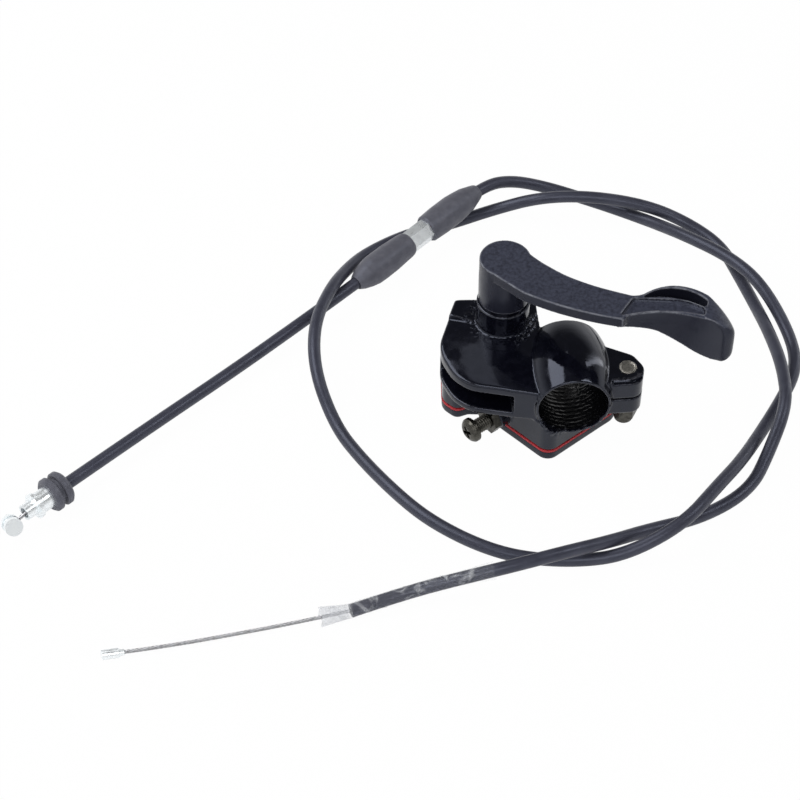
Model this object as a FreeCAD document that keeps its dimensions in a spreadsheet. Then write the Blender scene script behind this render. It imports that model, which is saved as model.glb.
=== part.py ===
import FreeCAD, Part
import math
import os
from FreeCAD import Placement, Rotation, Vector

# Thumb throttle for a 22 mm handlebar, with its control cable lying beside it, unhooked.
# Frame: the bar's axis is Y and its mouth faces -Y, Z is up, and the origin is the centre
# of the bore where the mouth opens. The throttle stands on its bottom cover.

doc = FreeCAD.newDocument("thumb_throttle")
sheet = doc.addObject("Spreadsheet::Sheet", "Sizes")

# Driving dimensions in millimetres and degrees: alias, value, meaning
SIZES = [
    ("bore_d", 22.2, "handlebar bore"),
    ("clamp_len", 27.0, "length of the domed clamp barrel"),
    ("clamp_wall", 1.9, "barrel wall over the bore"),
    ("barrel_mouth_wall", 0.8, "barrel wall at its mouth"),
    ("barrel_crown", 3.3, "barrel wall at its fullest"),
    ("bore_relief", 0.9, "relief round the bar behind the barrel, radial"),
    ("body_len", 41.0, "throttle body along the bar"),
    ("shoulder_low", -6.1, "underside of the shoulder"),
    ("shoulder_top", 10.0, "shoulder height at the pivot boss"),
    ("shoulder_dome_r", 125.0, "crown radius of the shoulder"),
    ("rim_fillet", 0.8, "rounding of the shoulder's rim"),
    ("slot_low", -3.8, "floor of the side slot"),
    ("slot_high", 3.7, "roof of the side slot"),
    ("slot_end_x", -18.8, "blind end of the side slot"),
    ("slot_depth_y", 24.0, "how far back the side slot runs"),
    ("column_d", 19.0, "solid column round the pivot"),
    ("pivot_x", -19.4, "pivot axis"),
    ("pivot_y", 31.7, "pivot axis"),
    ("boss_d", 17.2, "pivot boss"),
    ("boss_top", 18.6, "top of the pivot boss"),
    ("skirt_low", -17.6, "gasket face of the body"),
    ("skirt_wall", 2.2, "wall of the cable chamber"),
    ("chamber_roof", -7.0, "roof of the cable chamber"),
    ("front_lean", 18.7, "lean of the front face"),
    ("front_lean_y", 1.5, "where the leaning face meets the shoulder"),
    ("gasket_thick", 0.8, "cover gasket"),
    ("gasket_proud", 0.15, "gasket edge beyond the wall"),
    ("cover_thick", 3.9, "bottom cover"),
    ("cover_dish", 2.1, "dish in the bottom cover"),
    ("cover_fillet", 1.2, "rounding of the cover's lower edge"),
    ("post_d", 7.0, "cover screw post"),
    ("cover_screw_d", 3.0, "cover screw thread"),
    ("cover_screw_head_d", 5.6, "cover screw head"),
    ("cover_screw_head", 1.6, "cover screw head height"),
    ("cover_screw_len", 6.4, "cover screw under its head"),
    ("screw_gap", 0.1, "clearance round a fixed screw"),
    ("ear_low", -7.1, "underside of the pinch ears"),
    ("ear_high", 7.3, "top of the pinch ears"),
    ("slit", 0.8, "pinch slit"),
    ("slit_x", 9.0, "where the pinch slit starts"),
    ("clamp_bolt_x", 18.2, "pinch bolt axis"),
    ("clamp_bolt_y", 9.2, "pinch bolt axis"),
    ("clamp_bolt_d", 5.0, "pinch bolt thread"),
    ("clamp_head_d", 8.8, "pinch bolt head across corners"),
    ("clamp_head", 5.0, "pinch bolt head height"),
    ("clamp_button_d", 6.0, "round step below the pinch bolt's head"),
    ("clamp_button", 2.6, "round step below the pinch bolt's head, height"),
    ("clamp_socket_d", 4.0, "hexagon socket across corners"),
    ("washer_d", 8.8, "pinch bolt washer"),
    ("washer_thick", 1.1, "pinch bolt washer"),
    ("bush_d", 11.0, "pivot bush outside"),
    ("bush_flange_d", 15.0, "pivot bush flange"),
    ("bush_flange", 0.8, "pivot bush flange thickness"),
    ("shaft_d", 8.0, "pivot shaft"),
    ("shaft_run", 0.05, "running clearance of the shaft, radial"),
    ("shaft_tail_d", 6.0, "pivot shaft through the cable arm"),
    ("shaft_thread_d", 4.0, "pivot shaft under the cable arm"),
    ("body_gap", 0.3, "gap between the body and what turns"),
    ("hub_d", 16.3, "lever hub"),
    ("lever_top", 36.9, "top face of the lever"),
    ("lever_thick", 3.8, "lever arm thickness"),
    ("hub_cap", 3.9, "lever hub above its blind bore"),
    ("pad_step", 0.4, "pad ridges below the lever's top"),
    ("trough_depth", 0.9, "groove behind the pad's front ridge"),
    ("pocket_depth", 6.5, "hollow behind the pad's middle ridge"),
    ("lever_fillet", 0.6, "rounding of the arm's top edge"),
    ("arm_low", -16.8, "underside of the cable arm"),
    ("arm_thick", 3.0, "cable arm"),
    ("arm_hub_d", 12.0, "cable arm hub"),
    ("arm_reach", 16.5, "cable arm radius"),
    ("arm_from", -22.0, "leading edge of the cable arm, degrees"),
    ("arm_to", 14.0, "trailing edge of the cable arm, degrees"),
    ("arm_eye_r", 12.4, "nipple eye from the pivot"),
    ("barrel_d", 5.8, "barrel nipple"),
    ("eye_gap", 0.2, "clearance of the nipple in its eye, radial"),
    ("arm_nut_d", 7.8, "shaft nut across corners"),
    ("arm_nut", 2.6, "shaft nut height"),
    ("arm_washer_d", 9.0, "washer above the shaft nut"),
    ("arm_washer", 0.6, "washer above the shaft nut"),
    ("spring_wire", 1.2, "return spring wire"),
    ("spring_d", 11.6, "return spring mean diameter"),
    ("spring_turns", 4.0, "return spring turns"),
    ("spring_pitch", 1.35, "return spring pitch"),
    ("port_offset", 13.0, "cable port from the pivot, along X"),
    ("port_z", -14.6, "cable port height"),
    ("port_d", 4.5, "cable port"),
    ("limiter_angle", 33.0, "direction of the limiter screw"),
    ("limiter_x", -32.2, "centre of the limiter's head"),
    ("limiter_y", 4.8, "centre of the limiter's head"),
    ("limiter_z", -13.3, "limiter screw height"),
    ("limiter_d", 5.0, "limiter screw thread"),
    ("limiter_len", 21.0, "limiter screw from its head's middle"),
    ("limiter_run", 0.04, "clearance of the limiter thread, radial"),
    ("limiter_head_d", 8.2, "limiter screw head"),
    ("limiter_head", 2.8, "limiter screw head height"),
    ("cross_width", 1.1, "cross recess arm width"),
    ("cross_len", 4.2, "cross recess arm length"),
    ("cross_depth", 1.6, "cross recess depth"),
    ("limiter_nut_d", 9.2, "lock nut across corners"),
    ("limiter_nut", 2.6, "lock nut height"),
    ("limiter_nut_at", 6.9, "lock nut's outer face from the head's middle"),
    ("limiter_block_d", 8.4, "limiter boss on the body"),
    ("limiter_block_len", 9.0, "limiter boss length"),
    ("cord_d", 4.2, "cable casing"),
    ("wire_d", 1.2, "inner wire"),
    ("adjuster_len", 59.4, "in-line adjuster with both boots"),
    ("boot_neck_d", 5.6, "boot at its thin end"),
    ("boot_d", 10.4, "boot at its fullest"),
    ("boot_mouth_d", 9.2, "lower boot beside the hexagon"),
    ("boot_upper_mouth_d", 9.8, "upper boot beside the hexagon"),
    ("boot_lower_len", 25.3, "lower boot"),
    ("boot_upper_len", 25.2, "upper boot"),
    ("boot_stem_gap", 0.1, "clearance of a boot on its stem, radial"),
    ("stem_d", 6.2, "threaded stem inside the boots"),
    ("casing_in_boot", 6.0, "how far each casing runs into its boot"),
    ("casing_gap", 0.15, "clearance of a boot on its casing, radial"),
    ("hex_d", 8.2, "adjuster hexagon across corners"),
    ("grommet_d", 11.5, "grommet discs"),
    ("grommet_neck_d", 8.6, "grommet groove"),
    ("grommet_len", 6.8, "grommet"),
    ("grommet_lip", 2.7, "grommet disc thickness"),
    ("grommet_seat", 1.4, "ferrule's seat in the grommet"),
    ("ferrule_mouth", 2.4, "depth of the ferrule's open mouth"),
    ("ferrule_mouth_wall", 0.8, "wall round the ferrule's open mouth"),
    ("wire_gap", 0.1, "clearance of the wire in a bore, radial"),
    ("ferrule_tip_d", 5.2, "ferrule tip"),
    ("ferrule_tip_len", 3.8, "ferrule tip"),
    ("ferrule_flange_d", 8.6, "ferrule flange"),
    ("ferrule_flange", 1.2, "ferrule flange"),
    ("ferrule_body_d", 7.2, "ferrule body"),
    ("ferrule_body_len", 5.9, "ferrule body"),
    ("barrel_len", 5.6, "barrel nipple length"),
    ("barrel_groove_d", 4.4, "barrel nipple groove"),
    ("barrel_groove", 1.8, "barrel nipple groove width"),
    ("sleeve_d", 5.4, "clear sleeve outside"),
    ("sleeve_wall", 0.35, "clear sleeve wall"),
    ("sleeve_past_end", 9.5, "clear sleeve past the casing's end"),
    ("end_nipple_d", 3.1, "end nipple"),
    ("end_nipple_len", 5.6, "end nipple"),
    ("crimp_d", 2.0, "crimp ring behind the end nipple"),
    ("crimp_len", 1.4, "crimp ring behind the end nipple"),
]

for row, (alias, value, meaning) in enumerate(SIZES, start=1):
    sheet.set("A%d" % row, alias)
    sheet.set("B%d" % row, "%r" % value)
    sheet.set("C%d" % row, meaning)
    sheet.setAlias("B%d" % row, alias)
doc.recompute()


def size(alias):
    """Reads one driving dimension from the sheet."""
    return float(sheet.get(alias))


def bind(item, **expressions):
    """Binds properties to the sheet; a double underscore stands for a dot in a name."""
    for name, text in expressions.items():
        item.setExpression(name.replace("__", "."), text)
    return item


def at(item, x="0", y="0", z="0"):
    """Places an object from three expressions."""
    return bind(item, Placement__Base__x=x, Placement__Base__y=y, Placement__Base__z=z)


# Outlines

def rounded(corners):
    """Closed outline through (x, y, radius) corners: straight edges and tangent arcs."""
    starts = []
    ends = []
    count = len(corners)
    for index, (x, y, radius) in enumerate(corners):
        here = Vector(x, y, 0)
        back = Vector(corners[index - 1][0], corners[index - 1][1], 0) - here
        ahead = Vector(corners[(index + 1) % count][0], corners[(index + 1) % count][1], 0) - here
        back.normalize()
        ahead.normalize()
        half = back.getAngle(ahead) / 2
        reach = radius / math.tan(half)
        starts.append(here + back * reach)
        ends.append(here + ahead * reach)
    edges = []
    for index, (x, y, radius) in enumerate(corners):
        if radius > 0:
            here = Vector(x, y, 0)
            middle = (starts[index] + ends[index]) * 0.5 - here
            half = math.asin(radius / math.hypot(radius, (starts[index] - here).Length))
            toward = middle.normalize()
            top = here + toward * (radius / math.sin(half) - radius)
            edges.append(Part.Arc(starts[index], top, ends[index]))
        edges.append(Part.LineSegment(ends[index], starts[(index + 1) % count]))
    return edges


def arcs(*points):
    """Closed outline of three-point arcs: start, middle, end, middle, end and so on."""
    path = [Vector(x, y, 0) for x, y in points]
    edges = []
    for index in range(0, len(path) - 2, 2):
        edges.append(Part.Arc(path[index], path[index + 1], path[index + 2]))
    if (path[-1] - path[0]).Length > 0.001:
        edges.append(Part.LineSegment(path[-1], path[0]))
    return edges


def sketch(name, edges, body=None, plane="XY_Plane"):
    """A sketch of closed edges, in the drawing or on a body's own origin plane."""
    if body is None:
        drawn = doc.addObject("Sketcher::SketchObject", name)
        if plane == "XZ_Plane":
            drawn.Placement = Placement(Vector(), Rotation(Vector(1, 0, 0), 90))
    else:
        drawn = body.newObject("Sketcher::SketchObject", name)
        for feature in body.Origin.OriginFeatures:
            if feature.Role == plane:
                drawn.AttachmentSupport = (feature, [""])
        drawn.MapMode = "FlatFace"
    drawn.addGeometry(edges, False)
    return drawn


# Solids

def prism(name, edges, low, height, x="0", y="0", inset=None):
    """A straight-sided solid over an outline, from height low upwards."""
    drawn = at(sketch(name + "_outline", edges), x=x, y=y, z=low)
    if inset is not None:
        smaller = doc.addObject("Part::Offset2D", name + "_inset")
        smaller.Source = drawn
        bind(smaller, Value=inset)
        drawn = smaller
    solid = doc.addObject("Part::Extrusion", name)
    solid.Base = drawn
    solid.DirMode = "Custom"
    solid.Dir = Vector(0, 0, 1)
    solid.Solid = True
    return bind(solid, LengthFwd=height)


def cylinder(name, radius, height, x="0", y="0", z="0", along=None):
    """A cylinder up Z, or along another direction, from its base centre."""
    solid = doc.addObject("Part::Cylinder", name)
    if along is not None:
        solid.Placement = Placement(Vector(), Rotation(Vector(0, 0, 1), along))
    return at(bind(solid, Radius=radius, Height=height), x, y, z)


def block(name, length, width, height, x="0", y="0", z="0"):
    """A box from its lowest corner."""
    solid = bind(doc.addObject("Part::Box", name), Length=length, Width=width, Height=height)
    return at(solid, x, y, z)


def hexagon(name, across, height, x="0", y="0", z="0"):
    """A hexagonal prism, across its corners."""
    solid = doc.addObject("Part::Prism", name)
    solid.Polygon = 6
    return at(bind(solid, Circumradius=across + " / 2", Height=height), x, y, z)


def cut(name, base, *tools):
    """The base without the tools."""
    tool = tools[0] if len(tools) == 1 else fuse(name + "_tools", *tools)
    solid = doc.addObject("Part::Cut", name)
    solid.Base = base
    solid.Tool = tool
    return solid


def fuse(name, *shapes):
    """One solid of several."""
    solid = doc.addObject("Part::MultiFuse", name)
    solid.Shapes = list(shapes)
    return solid


def common(name, first, second):
    """What two solids share."""
    solid = doc.addObject("Part::Common", name)
    solid.Base = first
    solid.Tool = second
    return solid


def turned(name, profile):
    """A turned piece: its half section, (radius, height) points, is revolved about Z."""
    body = doc.addObject("PartDesign::Body", name)
    points = [Vector(radius, height, 0) for radius, height in profile]
    edges = []
    for index, point in enumerate(points):
        edges.append(Part.LineSegment(point, points[(index + 1) % len(points)]))
    drawn = sketch(name + "_section", edges, body, "XZ_Plane")
    revolution = body.newObject("PartDesign::Revolution", name + "_turn")
    revolution.Profile = drawn
    revolution.ReferenceAxis = (drawn, ["V_Axis"])
    revolution.Angle = 360.0
    return body


def plate(name, edges, thick):
    """A flat piece: its outline padded up by its thickness."""
    body = doc.addObject("PartDesign::Body", name)
    drawn = sketch(name + "_outline", edges, body)
    pad = body.newObject("PartDesign::Pad", name + "_pad")
    pad.Profile = drawn
    bind(pad, Length=thick)
    return body


def rim_fillet(name, base, radius, chosen):
    """Rounds the edges of a solid that the test picks."""
    doc.recompute()
    edges = []
    for number, edge in enumerate(base.Shape.Edges, start=1):
        if chosen(edge):
            edges.append((number, size(radius), size(radius)))
    solid = doc.addObject("Part::Fillet", name)
    solid.Base = base
    solid.Edges = edges
    return solid


def face_along(item, base, direction):
    """Lays a piece made up Z along a direction."""
    item.Placement = Placement(base, Rotation(Vector(0, 0, 1), direction))
    return item


BORE_R = "Sizes.bore_d / 2"
BORE_OUT = size("bore_d") / 2
PIVOT = Vector(size("pivot_x"), size("pivot_y"), 0)
FLOOR = size("skirt_low") - size("gasket_thick") - size("cover_thick")
AWAY = 60.0
LIMITER_WAY = Vector(math.cos(math.radians(size("limiter_angle"))),
                     math.sin(math.radians(size("limiter_angle"))), 0)
LIMITER_HEAD = Vector(size("limiter_x"), size("limiter_y"), size("limiter_z"))

# Plan of the shoulder, of the chamber below it and of the pinch ears: (x, y, corner radius)
SHOULDER = [(-7.0, 0.2, 0), (-19.0, 2.7, 3), (-36.0, 7.2, 14.5), (-41.3, 22.0, 14),
            (-33.9, 41.4, 1.0), (-7.0, size("body_len") - 0.6, 3)]
SKIRT = [(-7.9, -3.5, 4.2), (15.3, 12.9, 6), (20.6, 21.2, 5), (17.2, 30.0, 6),
         (13.0, size("body_len") - 1.8, 4), (-27.0, size("body_len") + 0.8, 6),
         (-38.3, 39.4, 5), (-39.6, 22.6, 5), (-35.4, 18.0, 3), (-31.2, 19.4, 2),
         (-27.0, 18.9, 2)]
EAR = [(8.0, 2.6, 0), (21.8, 2.6, 4), (23.6, 9.0, 5), (20.6, 14.6, 4), (8.0, 21.5, 0)]
COVER_SCREWS = [(-3.4, 4.2), (13.6, 25.4), (-35.0, 34.4)]


# Throttle body

def make_barrel():
    """The domed barrel that clamps the bar, fullest at its middle."""
    body = doc.addObject("PartDesign::Body", "barrel")
    mouth = Vector(BORE_OUT + size("barrel_mouth_wall"), 0, 0)
    crown = Vector(BORE_OUT + size("barrel_crown"), size("clamp_len") * 0.45, 0)
    rear = Vector(BORE_OUT + size("clamp_wall") * 0.6, size("clamp_len"), 0)
    axis_front = Vector(0, 0, 0)
    axis_rear = Vector(0, size("clamp_len"), 0)
    edges = [Part.Arc(mouth, crown, rear),
             Part.LineSegment(rear, axis_rear),
             Part.LineSegment(axis_rear, axis_front),
             Part.LineSegment(axis_front, mouth)]
    drawn = sketch("barrel_section", edges, body, "XY_Plane")
    revolution = body.newObject("PartDesign::Revolution", "barrel_turn")
    revolution.Profile = drawn
    revolution.ReferenceAxis = (drawn, ["V_Axis"])
    revolution.Angle = 360.0
    return body


def make_shoulder():
    """The shoulder beside the barrel: its plan under a shallow crown centred on the pivot."""
    slab = prism("shoulder_slab", rounded(SHOULDER), "Sizes.shoulder_low",
                 "Sizes.shoulder_top - Sizes.shoulder_low + 2")
    crown = doc.addObject("Part::Sphere", "shoulder_crown")
    bind(crown, Radius="Sizes.shoulder_dome_r")
    at(crown, "Sizes.pivot_x", "Sizes.pivot_y", "Sizes.shoulder_top - Sizes.shoulder_dome_r")
    domed = common("shoulder_domed", slab, crown)

    def on_rim(edge):
        high = edge.BoundBox.ZMin > size("slot_high")
        return high and edge.BoundBox.XMin < size("slot_end_x") - 0.5

    return rim_fillet("shoulder", domed, "rim_fillet", on_rim)


def make_skirt():
    """The chamber below the shoulder, with the face that leans out under the mouth."""
    solid = prism("skirt_solid", rounded(SKIRT), "Sizes.skirt_low",
                  "Sizes.shoulder_low - Sizes.skirt_low")
    ahead = block("skirt_ahead", "200", "60", "120")
    ahead.Placement = Placement(Vector(), Rotation(Vector(1, 0, 0), -size("front_lean")))
    lean = math.radians(size("front_lean"))
    back = Vector(-100, -60 * math.cos(lean) - 60 * math.sin(lean),
                  60 * math.sin(lean) - 60 * math.cos(lean))
    corner = Vector(0, size("front_lean_y"), size("shoulder_low")) + back
    ahead.Placement = Placement(corner, Rotation(Vector(1, 0, 0), -size("front_lean")))
    return cut("skirt", solid, ahead)


def make_chamber():
    """The hollow for the cable arm, under the barrel and round the screw posts."""
    hollow = prism("chamber_hollow", rounded(SKIRT), "Sizes.skirt_low",
                   "Sizes.chamber_roof - Sizes.skirt_low", inset="-Sizes.skirt_wall")
    bar_wall = cylinder("chamber_bar_wall", BORE_R + " + Sizes.clamp_wall",
                        "Sizes.body_len + 20", y="-10", along=Vector(0, 1, 0))
    kept = [bar_wall]
    for number, (x, y) in enumerate(COVER_SCREWS, start=1):
        kept.append(cylinder("chamber_post_%d" % number, "Sizes.post_d / 2", "20",
                             str(x), str(y), "Sizes.skirt_low"))
    kept.append(cylinder("chamber_limiter_wall", "Sizes.limiter_block_d / 2",
                         "Sizes.limiter_block_len", "%r" % limiter_point(9.5).x,
                         "%r" % limiter_point(9.5).y, "Sizes.limiter_z", along=LIMITER_WAY))
    return cut("chamber", hollow, *kept)


def limiter_point(distance):
    """A point on the limiter's axis, measured inwards from the middle of its head."""
    return LIMITER_HEAD + LIMITER_WAY * distance


def make_slot():
    """The deep side slot that leaves a solid column round the pivot."""
    space = block("slot_space", str(AWAY), "Sizes.slot_depth_y + 10",
                  "Sizes.slot_high - Sizes.slot_low", "Sizes.slot_end_x - %r" % AWAY, "-10",
                  "Sizes.slot_low")
    column = cylinder("slot_column", "Sizes.column_d / 2", "40", "Sizes.pivot_x",
                      "Sizes.pivot_y", "-20")
    return cut("slot", space, column)


def make_housing():
    """The one casting: barrel, shoulder, boss, ears and the chamber's walls."""
    block_start = size("limiter_nut_at") + size("limiter_nut")
    start = limiter_point(block_start)
    solid = fuse(
        "housing_solid", make_barrel(), make_shoulder(), make_skirt(),
        cylinder("boss", "Sizes.boss_d / 2", "Sizes.boss_top - Sizes.slot_high",
                 "Sizes.pivot_x", "Sizes.pivot_y", "Sizes.slot_high"),
        prism("ears", rounded(EAR), "Sizes.ear_low", "Sizes.ear_high - Sizes.ear_low"),
        cylinder("limiter_block", "Sizes.limiter_block_d / 2", "Sizes.limiter_block_len",
                 "%r" % start.x, "%r" % start.y, "Sizes.limiter_z", along=LIMITER_WAY))
    port_y = size("body_len") - 12
    tools = [
        cylinder("bar_bore", BORE_R, "Sizes.body_len + 30", y="-15", along=Vector(0, 1, 0)),
        cylinder("bar_relief", BORE_R + " + Sizes.bore_relief", "Sizes.body_len",
                 y="Sizes.clamp_len", along=Vector(0, 1, 0)),
        make_chamber(),
        make_slot(),
        block("pinch_slit", "40", "Sizes.body_len + 5", "Sizes.slit", "Sizes.slit_x", "-5",
              "-Sizes.slit"),
        cylinder("pinch_hole", "Sizes.clamp_bolt_d / 2 + Sizes.screw_gap", "40",
                 "Sizes.clamp_bolt_x", "Sizes.clamp_bolt_y", "-20"),
        cylinder("bush_seat", "Sizes.bush_d / 2", "60", "Sizes.pivot_x", "Sizes.pivot_y",
                 "Sizes.chamber_roof - 1"),
        cylinder("limiter_hole", "Sizes.limiter_d / 2 + Sizes.limiter_run", "30",
                 "%r" % limiter_point(5).x, "%r" % limiter_point(5).y, "Sizes.limiter_z",
                 along=LIMITER_WAY),
        cylinder("cable_port", "Sizes.port_d / 2", "30", "Sizes.pivot_x + Sizes.port_offset",
                 "%r" % port_y, "Sizes.port_z", along=Vector(0, 1, 0))]
    for number, (x, y) in enumerate(COVER_SCREWS, start=1):
        tools.append(cylinder("cover_screw_hole_%d" % number,
                              "Sizes.cover_screw_d / 2 + Sizes.screw_gap",
                              "Sizes.cover_screw_len", str(x), str(y), "Sizes.skirt_low - 2"))
    return cut("housing", solid, *tools)


def cover_bottom():
    """Height of the cover's underside."""
    return "(Sizes.skirt_low - Sizes.gasket_thick - Sizes.cover_thick)"


def screw_cuts(prefix, radius, low, height):
    """One cylinder at each cover screw."""
    made = []
    for number, (x, y) in enumerate(COVER_SCREWS, start=1):
        made.append(cylinder("%s_%d" % (prefix, number), radius, height, str(x), str(y), low))
    return made


def make_gasket():
    """The gasket: a flat ring a little proud of the wall, with its screw holes."""
    whole = prism("gasket_whole", rounded(SKIRT), "Sizes.skirt_low - Sizes.gasket_thick",
                  "Sizes.gasket_thick", inset="Sizes.gasket_proud")
    inside = prism("gasket_inside", rounded(SKIRT), "Sizes.skirt_low - 2", "4",
                   inset="-Sizes.skirt_wall")
    ring = cut("gasket_ring", whole, inside)
    pads = screw_cuts("gasket_pad", "Sizes.post_d / 2", "Sizes.skirt_low - Sizes.gasket_thick",
                      "Sizes.gasket_thick")
    joined = fuse("gasket_joined", ring, *pads)
    holes = screw_cuts("gasket_hole", "Sizes.cover_screw_d / 2 + Sizes.screw_gap",
                       "Sizes.skirt_low - 2", "4")
    return cut("cover_gasket", joined, *holes)


def make_cover():
    """The bottom cover: a rounded plate, dished inside, with sunk screw heads."""
    slab = prism("cover_slab", rounded(SKIRT), cover_bottom(), "Sizes.cover_thick")

    def lower(edge):
        return edge.BoundBox.ZMax < FLOOR + 0.01

    soft = rim_fillet("cover_soft", slab, "cover_fillet", lower)
    dish = prism("cover_dish_space", rounded(SKIRT), "Sizes.skirt_low - Sizes.gasket_thick"
                 " - Sizes.cover_dish", "Sizes.cover_dish + 2", inset="-Sizes.skirt_wall")
    posts = screw_cuts("cover_post", "Sizes.post_d / 2", "Sizes.skirt_low - 10", "20")
    hollow = cut("cover_hollow", dish, *posts)
    holes = screw_cuts("cover_hole", "Sizes.cover_screw_d / 2 + Sizes.screw_gap",
                       cover_bottom() + " - 1", "10")
    sinks = screw_cuts("cover_sink", "Sizes.cover_screw_head_d / 2 + Sizes.screw_gap",
                       cover_bottom() + " - 1", "Sizes.cover_screw_head + 1.2")
    return cut("bottom_cover", soft, hollow, *(holes + sinks))


def make_cover_screws():
    """Three screws from below, their heads sunk in the cover."""
    low = cover_bottom() + " + 0.2"
    parts = screw_cuts("cover_screw_head_disc", "Sizes.cover_screw_head_d / 2", low,
                       "Sizes.cover_screw_head")
    parts += screw_cuts("cover_screw_thread", "Sizes.cover_screw_d / 2",
                        low + " + Sizes.cover_screw_head", "Sizes.cover_screw_len")
    slots = []
    for number, (x, y) in enumerate(COVER_SCREWS, start=1):
        slots.append(block("cover_screw_slot_%d" % number, "Sizes.cover_screw_head_d * 0.7",
                           "0.8", "0.9", "%r - Sizes.cover_screw_head_d * 0.35" % x,
                           "%r - 0.4" % y, cover_bottom() + " + 0.1"))
    return cut("cover_screws", fuse("cover_screw_blanks", *parts), *slots)


def make_clamp_bolt():
    """The pinch bolt: its thread ends flush with the upper ear, its head is below."""
    seat = "Sizes.ear_low - Sizes.washer_thick"
    low = seat + " - Sizes.clamp_head"
    end = low + " - Sizes.clamp_button"
    head = hexagon("clamp_bolt_head", "Sizes.clamp_head_d", "Sizes.clamp_head",
                   "Sizes.clamp_bolt_x", "Sizes.clamp_bolt_y", low)
    button = cylinder("clamp_bolt_button", "Sizes.clamp_button_d / 2", "Sizes.clamp_button",
                      "Sizes.clamp_bolt_x", "Sizes.clamp_bolt_y", end)
    thread = cylinder("clamp_bolt_thread", "Sizes.clamp_bolt_d / 2",
                      "Sizes.ear_high - Sizes.ear_low + Sizes.washer_thick",
                      "Sizes.clamp_bolt_x", "Sizes.clamp_bolt_y", seat)
    socket = hexagon("clamp_bolt_socket", "Sizes.clamp_socket_d", "Sizes.clamp_head * 0.7",
                     "Sizes.clamp_bolt_x", "Sizes.clamp_bolt_y", end)
    return cut("clamp_bolt", fuse("clamp_bolt_blank", head, button, thread), socket)


def ring(name, outer, inner, thick, x, y, z):
    """A flat ring, such as a washer."""
    disc = cylinder(name + "_disc", outer, thick, x, y, z)
    hole = cylinder(name + "_hole", inner, thick + " + 2", x, y, z + " - 1")
    return cut(name, disc, hole)


def make_clamp_washer():
    """The washer under the pinch bolt's head."""
    return ring("clamp_washer", "Sizes.washer_d / 2", "Sizes.clamp_bolt_d / 2 + Sizes.screw_gap",
                "Sizes.washer_thick", "Sizes.clamp_bolt_x", "Sizes.clamp_bolt_y",
                "Sizes.ear_low - Sizes.washer_thick")


# Pivot

def make_bush():
    """The flanged bush that the shaft turns in."""
    inner = size("shaft_d") / 2 + size("shaft_run")
    outer = size("bush_d") / 2
    flange = size("bush_flange_d") / 2
    low = size("chamber_roof")
    top = size("boss_top")
    high = top + size("bush_flange")
    bush = turned("pivot_bush", [(inner, low), (outer, low), (outer, top), (flange, top),
                                 (flange, high), (inner, high)])
    return at(bush, "Sizes.pivot_x", "Sizes.pivot_y")


def make_shaft():
    """The pivot shaft: pressed in the lever's hub, stepped down for the cable arm."""
    full = size("shaft_d") / 2
    tail = size("shaft_tail_d") / 2
    thread = size("shaft_thread_d") / 2
    top = size("lever_top") - size("hub_cap")
    step = size("arm_low") + size("arm_thick")
    shoulder = size("arm_low")
    end = shoulder - size("arm_washer") - size("arm_nut")
    shaft = turned("pivot_shaft", [(0, end), (thread, end), (thread, shoulder),
                                   (tail, shoulder), (tail, step), (full, step),
                                   (full, top), (0, top)])
    return at(shaft, "Sizes.pivot_x", "Sizes.pivot_y")


def make_cable_arm():
    """The arm that pulls the cable: a hub, a sector and the barrel nipple's eye."""
    start = math.radians(size("arm_from"))
    stop = math.radians(size("arm_to"))
    middle = (start + stop) / 2
    reach = size("arm_reach")

    def rim(angle):
        return Vector(reach * math.cos(angle), reach * math.sin(angle), 0)

    edges = [Part.LineSegment(Vector(), rim(start)),
             Part.Arc(rim(start), rim(middle), rim(stop)),
             Part.LineSegment(rim(stop), Vector())]
    sector = prism("cable_arm_sector", edges, "Sizes.arm_low", "Sizes.arm_thick",
                   "Sizes.pivot_x", "Sizes.pivot_y")
    hub = cylinder("cable_arm_hub", "Sizes.arm_hub_d / 2", "Sizes.arm_thick", "Sizes.pivot_x",
                   "Sizes.pivot_y", "Sizes.arm_low")
    eye_angle = middle
    eye = Vector(math.cos(eye_angle), math.sin(eye_angle), 0) * size("arm_eye_r") + PIVOT
    eye_hole = cylinder("cable_arm_eye", "Sizes.barrel_d / 2 + Sizes.eye_gap", "10",
                        "%r" % eye.x, "%r" % eye.y, "Sizes.arm_low - 2")
    shaft_hole = cylinder("cable_arm_hole", "Sizes.shaft_tail_d / 2", "10", "Sizes.pivot_x",
                          "Sizes.pivot_y", "Sizes.arm_low - 2")
    return cut("cable_arm", fuse("cable_arm_blank", sector, hub), eye_hole, shaft_hole)


def make_shaft_washer():
    """The washer under the cable arm."""
    return ring("shaft_washer", "Sizes.arm_washer_d / 2", "Sizes.shaft_thread_d / 2",
                "Sizes.arm_washer", "Sizes.pivot_x", "Sizes.pivot_y",
                "Sizes.arm_low - Sizes.arm_washer")


def make_shaft_nut():
    """The nut that holds the cable arm on the shaft."""
    low = "Sizes.arm_low - Sizes.arm_washer - Sizes.arm_nut"
    blank = hexagon("shaft_nut_blank", "Sizes.arm_nut_d", "Sizes.arm_nut", "Sizes.pivot_x",
                    "Sizes.pivot_y", low)
    hole = cylinder("shaft_nut_hole", "Sizes.shaft_thread_d / 2", "Sizes.arm_nut + 2",
                    "Sizes.pivot_x", "Sizes.pivot_y", low + " - 1")
    return cut("shaft_nut", blank, hole)


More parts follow.
